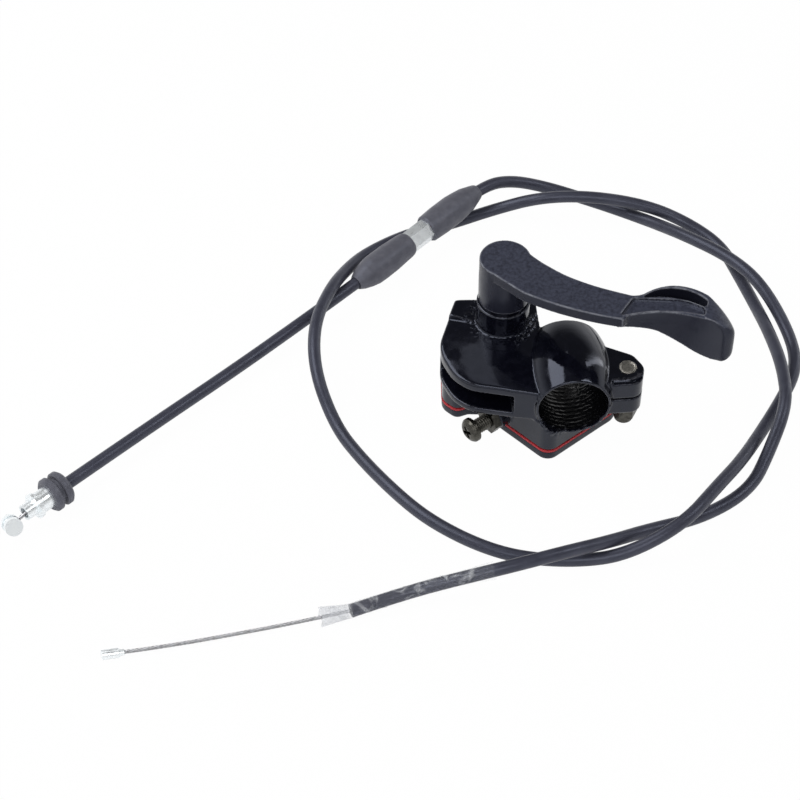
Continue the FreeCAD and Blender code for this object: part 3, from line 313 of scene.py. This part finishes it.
def smooth_object(name, verts, faces):
    """A new object from plain lists, shaded smooth."""
    mesh = bpy.data.meshes.new(name)
    mesh.from_pydata(verts, [], faces)
    mesh.polygons.foreach_set("use_smooth", [True] * len(faces))
    return new_object(name, mesh)


def evaluated(item, *modifiers):
    """Bakes modifiers, given as (kind, settings), into an object's mesh."""
    for kind, settings in modifiers:
        modifier = item.modifiers.new(kind, kind)
        for key, value in settings.items():
            setattr(modifier, key, value)
    bpy.context.view_layer.update()
    graph = bpy.context.evaluated_depsgraph_get()
    baked = bpy.data.meshes.new_from_object(item.evaluated_get(graph))
    old = item.data
    item.modifiers.clear()
    item.data = baked
    bpy.data.meshes.remove(old)


def soften(item, share, steps):
    """Rounds a mesh further where share, a function of the place in mm, is above 0."""
    group = item.vertex_groups.new(name="soft")
    for vertex in item.data.vertices:
        weight = share(vertex.co / MM)
        if weight > 0:
            group.add([vertex.index], weight, "REPLACE")
    evaluated(item, ("SMOOTH", {"factor": 0.5, "iterations": steps, "vertex_group": "soft"}))
    item.vertex_groups.clear()


WEAR_STEPS = 14


def note_edges(item):
    """Stores how far each vertex stands out of the smoothed surface, in mm, as its wear."""
    smooth = new_object("smooth", item.data.copy())
    evaluated(smooth, ("SMOOTH", {"factor": 0.5, "iterations": WEAR_STEPS}))
    wear = [(vertex.co - under.co).dot(vertex.normal) / MM
            for vertex, under in zip(item.data.vertices, smooth.data.vertices)]
    item.data.attributes.new("wear", "FLOAT", "POINT").data.foreach_set("value", wear)
    mesh = smooth.data
    bpy.data.objects.remove(smooth)
    bpy.data.meshes.remove(mesh)


def recast(node, name, voxel, smooth_steps, form=None, soft=None, most_tris=190000):
    """A copy of a CAD node, remeshed finely so that its edges round off as a casting's do."""
    mesh = nodes[node].data.copy()
    welded = bmesh.new()
    welded.from_mesh(mesh)
    bmesh.ops.remove_doubles(welded, verts=welded.verts, dist=1e-6)
    welded.to_mesh(mesh)
    welded.free()
    made = new_object(name, mesh)
    evaluated(made, ("REMESH", {"mode": "VOXEL", "voxel_size": voxel}),
              ("SMOOTH", {"factor": 0.5, "iterations": smooth_steps}))
    if soft:
        soften(made, *soft)
    if form:
        places = [v.co / MM for v in made.data.vertices]
        normals = [v.normal.copy() for v in made.data.vertices]
        for vertex, place, normal in zip(made.data.vertices, places, normals):
            vertex.co = (place + form(place, normal)) * MM
    tris = sum(len(face.vertices) - 2 for face in made.data.polygons)
    if tris > most_tris:
        evaluated(made, ("DECIMATE", {"ratio": most_tris / tris}))
    made.data.name = name
    note_edges(made)
    made.data.polygons.foreach_set("use_smooth", [True] * len(made.data.polygons))
    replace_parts(made, node)
    return made


def step(low, high, value):
    """0 below low, 1 above high, smooth between."""
    share = min(1.0, max(0.0, (value - low) / (high - low)))
    return share * share * (3 - 2 * share)


PIVOT = Vector((-19.4, 31.7, 0.0))


def boss_foot(place, normal):
    """The rough fillet round the pivot boss, roughest towards the barrel."""
    across = Vector((place.x, place.y, 0.0)) - PIVOT
    out = across.length
    if not (8.2 < out < 12.5 and 7.0 < place.z < 13.0):
        return Vector()
    foot = step(8.2, 9.0, out) * (1 - step(10.0, 12.5, out)) * (1 - step(10.8, 12.6, place.z))
    corner = step(2.0, 7.5, across.x) * (1 - step(-1.0, 5.0, across.y))
    grain = noise.noise(place * 1.0 + Vector((7.0, 3.0, 1.0))) + 0.5 * noise.noise(place * 2.1)
    return normal * foot * (0.16 + 0.6 * corner) * grain


def raised_corner(place, normal):
    """The corner of the shoulder behind the boss, which stands a step higher."""
    if not (place.x < -24.0 and place.y > 28.0 and 6.0 < place.z < 12.0 and normal.z > 0.2):
        return Vector()
    out = (Vector((place.x, place.y, 0.0)) - PIVOT).length
    ahead = (place.y - 29.8) + 0.47 * (place.x + 28.2)
    raised = step(-0.1, 1.1, ahead) * step(8.6, 11.0, out)
    slope = 0.5 + 0.75 * step(10.0, 17.5, out)
    grain = 0.25 * noise.noise(place * 1.1) * (1 - step(11.0, 14.5, out))
    return Vector((0.0, 0.0, raised * (slope + grain)))


def ear_lip(place):
    """The step down along the front of the upper pinch ear."""
    if not (12.4 < place.x < 22.5 and place.y < 6.5 and place.z > 5.2):
        return Vector()
    front = place.y - 2.6 - 0.12 * max(0.0, place.x - 18.0) ** 2
    return Vector((0.0, 0.0, -0.85 * step(5.4, 6.8, place.z) * (1 - step(0.9, 1.5, front))))


def bore_rim(place, normal):
    """The ragged lower rim of the bore's mouth."""
    if not (place.y < 1.2 and 10.6 < math.hypot(place.x, place.z) < 12.4 and place.z < -3.0):
        return Vector()
    return normal * 0.34 * step(-3.0, -6.0, place.z) * noise.noise(place * 0.95)


def casting_form(place, normal):
    """The marks of the die, over soft waves."""
    waves = normal * noise.noise(place * 0.16) * 0.06
    return (waves + boss_foot(place, normal) + raised_corner(place, normal) + ear_lip(place)
            + bore_rim(place, normal))


PAD_RIDGES = [[(12.7, 3.5), (20.0, 4.6), (26.6, 4.7), (33.0, 3.7), (38.9, 1.7)],
              [(18.0, 10.8), (23.5, 10.0), (29.0, 9.3), (34.9, 7.7), (39.2, 4.7)]]


LEVER_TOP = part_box("thumb_lever")[1][2] / MM


def off_line(place, points):
    """How far a place lies from a run of points, seen from above, in mm."""
    best = 99.0
    spot = Vector((place.x, place.y))
    for a, b in zip(points, points[1:]):
        start = Vector(a)
        way = Vector(b) - start
        share = min(1.0, max(0.0, (spot - start).dot(way) / way.length_squared))
        best = min(best, (spot - start - way * share).length)
    return best


RIDGE_HIGH = 0.42


def lever_form(place, normal):
    """Soft waves, and the raised ridges along the thumb pad."""
    move = normal * (noise.noise(place * 0.14) * 0.07)
    if place.x > 11.5 and place.z > 33.5 and normal.z > 0.2:
        off = min(off_line(place, ridge) for ridge in PAD_RIDGES)
        raised = RIDGE_HIGH * (1 - step(0.15, 0.95, off))
        move += Vector((0.0, 0.0, max(0.0, min(raised, LEVER_TOP - 0.1 - place.z - move.z))))
    return move


def thumb_end(place):
    """The lever's end cap, which is rounded like a thumb tip."""
    return step(41.2, 46.0, place.x)


housing_cast = recast("housing", "housing_cast", 0.00034, 4, casting_form)
dress(housing_cast, casting_black)
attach(housing_cast, "body")

lever_cast = recast("thumb_lever", "lever_cast", 0.00024, 3, lever_form, (thumb_end, 320))
dress(lever_cast, lever_black)
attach(lever_cast, "lever")

def cover_form(place, normal):
    return normal * (noise.noise(place * 0.15) * 0.05)


cover_cast = recast("bottom_cover", "cover_cast", 0.00036, 4, cover_form)
dress(cover_cast, cover_black)
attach(cover_cast, "body")


LIMITER_WAY = Vector((math.cos(math.radians(33.0)), math.sin(math.radians(33.0)), 0.0))
LIMITER_HEAD = Vector((-32.2, 4.8, -13.3))
THREAD_PITCH = 0.8
THREAD_DEPTH = 0.42


def limiter_form(place, normal):
    """The screw's thread, cut into its plain shank."""
    along = (place - LIMITER_HEAD).dot(LIMITER_WAY)
    out = place - LIMITER_HEAD - LIMITER_WAY * along
    if along < 1.9 or out.length < 1.6:
        return Vector((0.0, 0.0, 0.0))
    side = LIMITER_WAY.cross(Vector((0.0, 0.0, 1.0)))
    turn = math.atan2(out.dot(side), out.z) / (2 * math.pi)
    tooth = abs(((along / THREAD_PITCH - turn) % 1.0) * 2 - 1)
    return out.normalized() * (-THREAD_DEPTH * (1 - tooth) * step(1.9, 2.3, along))


limiter_threaded = recast("limiter_screw", "limiter_threaded", 0.00013, 2, limiter_form,
                          most_tris=110000)
dress(limiter_threaded, dark_zinc)
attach(limiter_threaded, "limiter")


RIB_PITCH = 1.7


def bore_ribs():
    """The ribs cast round the bore, broken up near the bottom."""
    around, along = 240, 130
    length = 25.6
    start = 0.9
    verts, faces = [], []
    for j in range(along + 1):
        y = start + length * j / along
        for i in range(around):
            angle = 2 * math.pi * i / around
            place = Vector((math.sin(angle), y * 0.12, math.cos(angle)))
            low = step(0.0, 0.9, -math.cos(angle))
            shift = noise.noise(place * 2.2) * 0.5
            rib = (0.5 + 0.5 * math.cos(2 * math.pi * (y + shift) / RIB_PITCH)) ** 1.6
            rib *= 0.35 + 0.65 * step(-0.25, 0.25, noise.noise(place * 3.1) - 0.3 * math.sin(angle))
            chips = noise.noise(Vector((11 * math.sin(angle), y, 11 * math.cos(angle))) * 0.9)
            depth = 0.02 + 0.32 * (1 - 0.6 * low) * rib + (0.03 + 0.16 * low) * abs(chips)
            radius = (BORE_R / MM - min(depth, 0.45)) * MM
            verts.append((radius * math.sin(angle), y * MM, radius * math.cos(angle)))
    for j in range(along):
        for i in range(around):
            a = j * around + i
            b = j * around + (i + 1) % around
            faces.append((a, b, b + around, a + around))
    made = smooth_object("bore_ribs", verts, faces)
    dress(made, bore_black)
    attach(made, "body")


bore_ribs()


def lathe(name, profile, start, way):
    """A turned mesh from (radius, distance) pairs in mm about an axis; its ends are closed."""
    around = 72
    way = Vector(way).normalized()
    side = way.orthogonal().normalized()
    other = way.cross(side)
    verts, faces = [], []
    for radius, along in profile:
        for i in range(around):
            angle = 2 * math.pi * i / around
            out = side * math.cos(angle) + other * math.sin(angle)
            verts.append(Vector(start) + (way * along + out * radius) * MM)
    for j in range(len(profile) - 1):
        for i in range(around):
            a = j * around + i
            b = j * around + (i + 1) % around
            faces.append((a, b, b + around, a + around))
    faces.append(tuple(reversed(range(around))))
    faces.append(tuple(range((len(profile) - 1) * around, len(profile) * around)))
    return smooth_object(name, verts, faces)


def bolt_end():
    """The pinch bolt's end in the upper ear: a worn disc with a rolled rim."""
    low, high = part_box("clamp_bolt")
    middle = ((low[0] + high[0]) / 2, (low[1] + high[1]) / 2, high[2])
    made = lathe("bolt_end", [(2.86, -0.3), (2.86, 0.1), (2.7, 0.24), (2.45, 0.26), (2.25, 0.16),
                              (2.12, 0.04), (1.2, 0.05), (0.3, 0.07)], middle, (0, 0, 1))
    evaluated(made, ("SUBSURF", {"levels": 1}))
    for vertex in made.data.vertices:
        place = vertex.co / MM
        vertex.co.z += noise.noise(place * 1.3) * 0.00005
    dress(made, worn_zinc)
    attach(made, "body")


bolt_end()


# Cable

CASING_SHORT = [(-162.3, -4.8, 5.8), (-135.0, 18.8, 5.0), (-108.3, 41.0, 4.5),
                (-84.4, 61.0, 5.0), (-63.8, 77.0, 7.2), (-59.2, 80.9, 7.6)]
CASING_LONG = [
    (-22.9, 111.4, 10.8), (-15.2, 117.9, 11.5), (-5.0, 122.5, 8.7), (7.6, 123.2, 3.9),
    (19.4, 118.6, 2.1), (29.0, 112.9, 2.1), (41.6, 102.5, 3.9), (52.0, 88.0, 9.6),
    (65.0, 74.9, 10.8), (73.5, 61.7, 10.0), (80.8, 44.6, 2.1), (79.8, 29.1, 2.1),
    (71.7, 15.4, 2.1), (62.3, 1.4, 2.8), (52.6, -14.2, 7.7), (42.9, -26.0, 10.5),
    (29.8, -40.9, 11.1), (11.4, -46.5, 4.5), (-3.8, -46.0, 2.1), (-21.4, -43.1, 2.1),
    (-34.4, -36.7, 2.1), (-47.4, -26.3, 2.1), (-56.7, -15.1, 2.1), (-67.5, 1.4, 2.2),
    (-75.1, 16.8, 2.1), (-80.6, 33.6, 11.1), (-79.5, 52.4, 14.0), (-73.0, 70.0, 12.2),
    (-66.7, 83.2, 7.8), (-59.1, 95.1, 3.5), (-44.2, 104.8, 2.1), (-29.4, 108.5, 2.1),
    (-11.9, 114.6, 2.7), (3.6, 111.3, 10.2), (21.0, 109.7, 10.9), (40.4, 106.1, 8.5),
    (54.6, 101.2, 3.6), (65.0, 90.0, 2.1), (68.4, 75.0, 2.1), (71.3, 57.7, 3.3),
    (72.1, 40.9, 8.2), (72.8, 22.9, 10.7), (71.1, 6.1, 11.0), (63.2, -8.0, 3.9),
    (54.9, -21.6, 2.1), (38.1, -31.6, 2.1), (19.6, -35.7, 2.5), (6.5, -42.7, 6.8),
    (-8.5, -48.8, 10.6), (-25.4, -53.1, 10.9), (-43.3, -54.1, 7.2), (-58.4, -54.6, 3.0),
    (-75.3, -59.9, 2.8)]
WIRE_BARE = [(-75.4, -59.9, 2.8), (-92.0, -62.3, 1.9), (-112.3, -64.9, 1.3),
             (-131.0, -67.5, 1.4), (-144.2, -68.8, 1.6)]


def route(points):
    return [Vector((x * MM, y * MM, FLOOR + above * MM)) for x, y, above in points]


def spline_curve(name, points, radius):
    """A cord's line: one NURBS spline through its control points, with a round bevel."""
    data = bpy.data.curves.new(name, "CURVE")
    data.dimensions = "3D"
    spline = data.splines.new("NURBS")
    spline.points.add(len(points) - 1)
    for place, point in zip(spline.points, points):
        place.co = (*point, 1.0)
    spline.order_u = 3
    spline.use_endpoint_u = True
    spline.resolution_u = 8
    data.bevel_depth = radius
    data.bevel_resolution = 5
    data.use_fill_caps = radius > 0
    return new_object(name, data)


def line_of(item):
    """The points of a curve's own line, read from its spline."""
    data = item.data.copy()
    data.bevel_depth = 0.0
    bare = new_object("bare_line", data)
    bpy.context.view_layer.update()
    graph = bpy.context.evaluated_depsgraph_get()
    mesh = bpy.data.meshes.new_from_object(bare.evaluated_get(graph))
    points = [v.co.copy() for v in mesh.vertices]
    bpy.data.objects.remove(bare)
    bpy.data.meshes.remove(mesh)
    return points


def run_length(points):
    return sum((b - a).length for a, b in zip(points, points[1:]))


def casing(name, node, points):
    """A length of casing: a round curve through its points, which stands in for the CAD piece."""
    made = spline_curve(name, route(points), CASING_D / 2)
    made.data.materials.append(casing_black)
    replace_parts(made, node)
    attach(made, "body")
    length = run_length(line_of(made))


def frames_along(line, spacing):
    """Evenly spaced points on a line with two directions square to it, carried along."""
    points = [line[0]]
    for a, b in zip(line, line[1:]):
        steps = max(1, round((b - a).length / spacing))
        points += [a.lerp(b, (k + 1) / steps) for k in range(steps)]
    side = (points[1] - points[0]).orthogonal().normalized()
    frames = []
    for index, point in enumerate(points):
        way = points[min(index + 1, len(points) - 1)] - points[max(index - 1, 0)]
        way.normalize()
        side = (side - way * side.dot(way)).normalized()
        frames.append((point, side, way.cross(side)))
    return frames


def tube_mesh(name, frames, around, reach, closed):
    """A mesh tube whose radius at ring j and angle a is reach(j, a), in metres."""
    verts, faces = [], []
    for j, (point, side, other) in enumerate(frames):
        for i in range(around):
            angle = 2 * math.pi * i / around
            out = side * math.cos(angle) + other * math.sin(angle)
            verts.append(point + out * reach(j, angle))
    for j in range(len(frames) - 1):
        for i in range(around):
            a = j * around + i
            b = j * around + (i + 1) % around
            faces.append((a, b, b + around, a + around))
    if closed:
        faces.append(tuple(reversed(range(around))))
        faces.append(tuple(range((len(frames) - 1) * around, len(frames) * around)))
    return smooth_object(name, verts, faces)


def stranded_wire(name, line):
    """Six wires laid round a core, turned along a line."""
    strand = WIRE_D / 6
    pitch = 0.0072
    spacing = 0.0003
    frames = frames_along(line, spacing)

    def reach(ring, angle):
        turn = angle - 2 * math.pi * ring * spacing / pitch
        off = (turn + math.pi / 6) % (math.pi / 3) - math.pi / 6
        inner = strand * strand - (2 * strand * math.sin(off)) ** 2
        return 2 * strand * math.cos(off) + math.sqrt(max(0.0, inner))

    made = tube_mesh(name, frames, 48, reach, True)
    dress(made, wire_steel)
    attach(made, "body")
    return made


def film_sleeve(casing_line, wire):
    """The thin clear sleeve over the casing's bare end, creased, with ragged open ends."""
    back = 0.045      # how far it reaches back over the casing
    past = 0.0095     # how far its open end stands past the casing
    spacing = 0.0006
    around = 48
    run = 0.0
    line = [casing_line[-1]]
    for a, b in zip(reversed(casing_line[:-1]), reversed(casing_line[1:])):
        run += (b - a).length
        line.insert(0, a)
        if run > back:
            break
    ahead = (wire[min(12, len(wire) - 1)] - wire[0]).normalized()
    line += [casing_line[-1] + ahead * past * k / 8 for k in range(1, 9)]
    frames = frames_along(line, spacing)
    count = len(frames)
    free = past / spacing

    def reach(ring, angle):
        left = step(0.0, 1.0, (ring - (count - free)) / free)
        tail = 1 - step(0.0, 0.16, ring / count)
        place = Vector((math.cos(angle), math.sin(angle), ring * 0.09))
        crease = abs(noise.noise(place * 1.1)) * 0.0002 + abs(noise.noise(place * 2.3)) * 0.0001
        flat = 1 + 0.3 * (0.75 * left + 0.5 * tail) * math.cos(2 * (angle - 0.4))
        return (CASING_D / 2 + 0.00012 + crease + 0.0003 * left + 0.0002 * tail) * flat

    made = tube_mesh("clear_film_sleeve", frames, around, reach, False)
    for vertex in made.data.vertices:
        ragged = noise.noise(vertex.co / MM * 0.5) * 0.0012
        if vertex.index < around:
            vertex.co += (frames[0][0] - frames[2][0]).normalized() * ragged
        elif vertex.index >= (count - 1) * around:
            vertex.co += (frames[-1][0] - frames[-3][0]).normalized() * ragged
    evaluated(made, ("SOLIDIFY", {"thickness": 0.00008, "offset": 1.0}))
    dress(made, film)
    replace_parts(made, "clear_sleeve")
    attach(made, "body")
    return made


def bare_line(points):
    """The line of a route's own spline."""
    item = spline_curve("route_line", route(points), 0.0)
    line = line_of(item)
    bpy.data.objects.remove(item)
    return line


def ends_of(node):
    """The middles of the two ends of a straight round CAD piece."""
    places = [vertex.co.copy() for vertex in nodes[node].data.vertices]
    middle = sum(places, Vector()) / len(places)
    way = max(places, key=lambda place: (place - middle).length) - middle
    first = [place for place in places if (place - middle).dot(way) > 0]
    second = [place for place in places if (place - middle).dot(way) <= 0]
    return sum(first, Vector()) / len(first), sum(second, Vector()) / len(second)


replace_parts(stranded_wire("wire_short_strands", list(ends_of("wire_short"))), "wire_short")
wire_line = bare_line(WIRE_BARE)
sleeve = film_sleeve(bare_line(CASING_LONG), wire_line)
casing("casing_long_cord", "casing_long", CASING_LONG)
casing("casing_short_cord", "casing_short", CASING_SHORT)
bare_wire = stranded_wire("wire_bare_strands", wire_line)
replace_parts(bare_wire, "wire_bare")


# Stage

CAMERA_GLOW = 0.98    # share of plain white that the camera sees on the floor
MIRROR_GLOW = 0.55    # and that gloss, metal and clear film see


def floor_material():
    """Matte white; seen by the camera, glass and metal it is the plain white background."""
    material = bpy.data.materials.new("studio_floor")
    material.use_nodes = True
    tree = material.node_tree
    tree.nodes.clear()
    out = tree.nodes.new("ShaderNodeOutputMaterial")
    matte = tree.nodes.new("ShaderNodeBsdfDiffuse")
    matte.inputs["Color"].default_value = (0.9, 0.9, 0.9, 1.0)
    glow = tree.nodes.new("ShaderNodeEmission")
    glow.inputs["Color"].default_value = (1.0, 1.0, 1.0, 1.0)
    rays = tree.nodes.new("ShaderNodeLightPath")
    mirrored = math_node(tree, "MAXIMUM", rays.outputs["Is Glossy Ray"],
                         rays.outputs["Is Transmission Ray"])
    share = math_node(tree, "MAXIMUM",
                      math_node(tree, "MULTIPLY", rays.outputs["Is Camera Ray"], CAMERA_GLOW),
                      math_node(tree, "MULTIPLY", mirrored, MIRROR_GLOW))
    mix = tree.nodes.new("ShaderNodeMixShader")
    tree.links.new(share, mix.inputs["Fac"])
    tree.links.new(matte.outputs[0], mix.inputs[1])
    tree.links.new(glow.outputs[0], mix.inputs[2])
    tree.links.new(mix.outputs[0], out.inputs["Surface"])
    return material


def floor():
    data = bpy.data.meshes.new("floor")
    reach = 6.0
    level = FLOOR - 0.00002
    corners = [(-reach, -reach, level), (reach, -reach, level), (reach, reach, level),
               (-reach, reach, level)]
    data.from_pydata(corners, [], [(0, 1, 2, 3)])
    made = new_object("floor", data)
    dress(made, floor_material())


def world():
    """White to the camera; for light and reflections pale at the horizon and dim overhead."""
    made = bpy.data.worlds.new("studio")
    bpy.context.scene.world = made
    made.use_nodes = True
    tree = made.node_tree
    tree.nodes.clear()
    out = tree.nodes.new("ShaderNodeOutputWorld")
    rays = tree.nodes.new("ShaderNodeLightPath")
    coords = tree.nodes.new("ShaderNodeTexCoord")
    split = tree.nodes.new("ShaderNodeSeparateXYZ")
    tree.links.new(coords.outputs["Generated"], split.inputs[0])
    height = tree.nodes.new("ShaderNodeMapRange")
    height.inputs["From Min"].default_value = 0.12
    height.inputs["From Max"].default_value = 0.5
    height.inputs["To Min"].default_value = 0.85
    height.inputs["To Max"].default_value = 0.1
    tree.links.new(split.outputs["Z"], height.inputs["Value"])
    room = tree.nodes.new("ShaderNodeBackground")
    tree.links.new(height.outputs[0], room.inputs["Strength"])
    white = tree.nodes.new("ShaderNodeBackground")
    white.inputs["Strength"].default_value = 1.0
    for shader in (room, white):
        shader.inputs["Color"].default_value = (1.0, 1.0, 1.0, 1.0)
    mix = tree.nodes.new("ShaderNodeMixShader")
    tree.links.new(rays.outputs["Is Camera Ray"], mix.inputs["Fac"])
    tree.links.new(room.outputs[0], mix.inputs[1])
    tree.links.new(white.outputs[0], mix.inputs[2])
    tree.links.new(mix.outputs[0], out.inputs["Surface"])


LIGHT_AIM = Vector((0.0, 0.01, 0.0))


def softbox(name, way, distance, width, height, radiance):
    """A soft area light seen from the object along way, with the given radiance."""
    data = bpy.data.lights.new(name, "AREA")
    data.shape = "RECTANGLE"
    data.size = width
    data.size_y = height
    data.energy = radiance * math.pi * width * height
    made = new_object(name, data)
    way = Vector(way).normalized()
    made.location = LIGHT_AIM + way * distance
    made.rotation_euler = way.to_track_quat("Z", "Y").to_euler()


def camera():
    """The photograph's own viewpoint, solved from the round bore, boss and hub."""
    data = bpy.data.cameras.new("camera")
    data.sensor_width = 36.0
    data.lens = 109.35
    data.clip_start = 0.01
    data.clip_end = 50.0
    made = new_object("camera", data)
    made.location = (-0.09831, -0.51299, 0.56842)
    made.rotation_euler = (math.radians(42.6), 0.0, math.radians(-4.8))
    bpy.context.scene.camera = made


floor()
world()
softbox("left_box", (-0.58, 0.2, 0.76), 0.9, 0.8, 0.55, 3.6)
softbox("top_box", (0.6, -0.05, 0.8), 0.9, 0.24, 0.42, 4.4)
softbox("shoulder_box", (-0.06, 0.4, 0.92), 0.9, 0.12, 0.4, 0.75)
softbox("right_box", (0.78, 0.5, 0.38), 0.9, 0.07, 0.8, 3.0)
softbox("front_fill", (-0.2, -0.8, 0.85), 1.5, 1.0, 0.8, 3.0)
camera()

bpy.context.scene.view_settings.view_transform = "Standard"
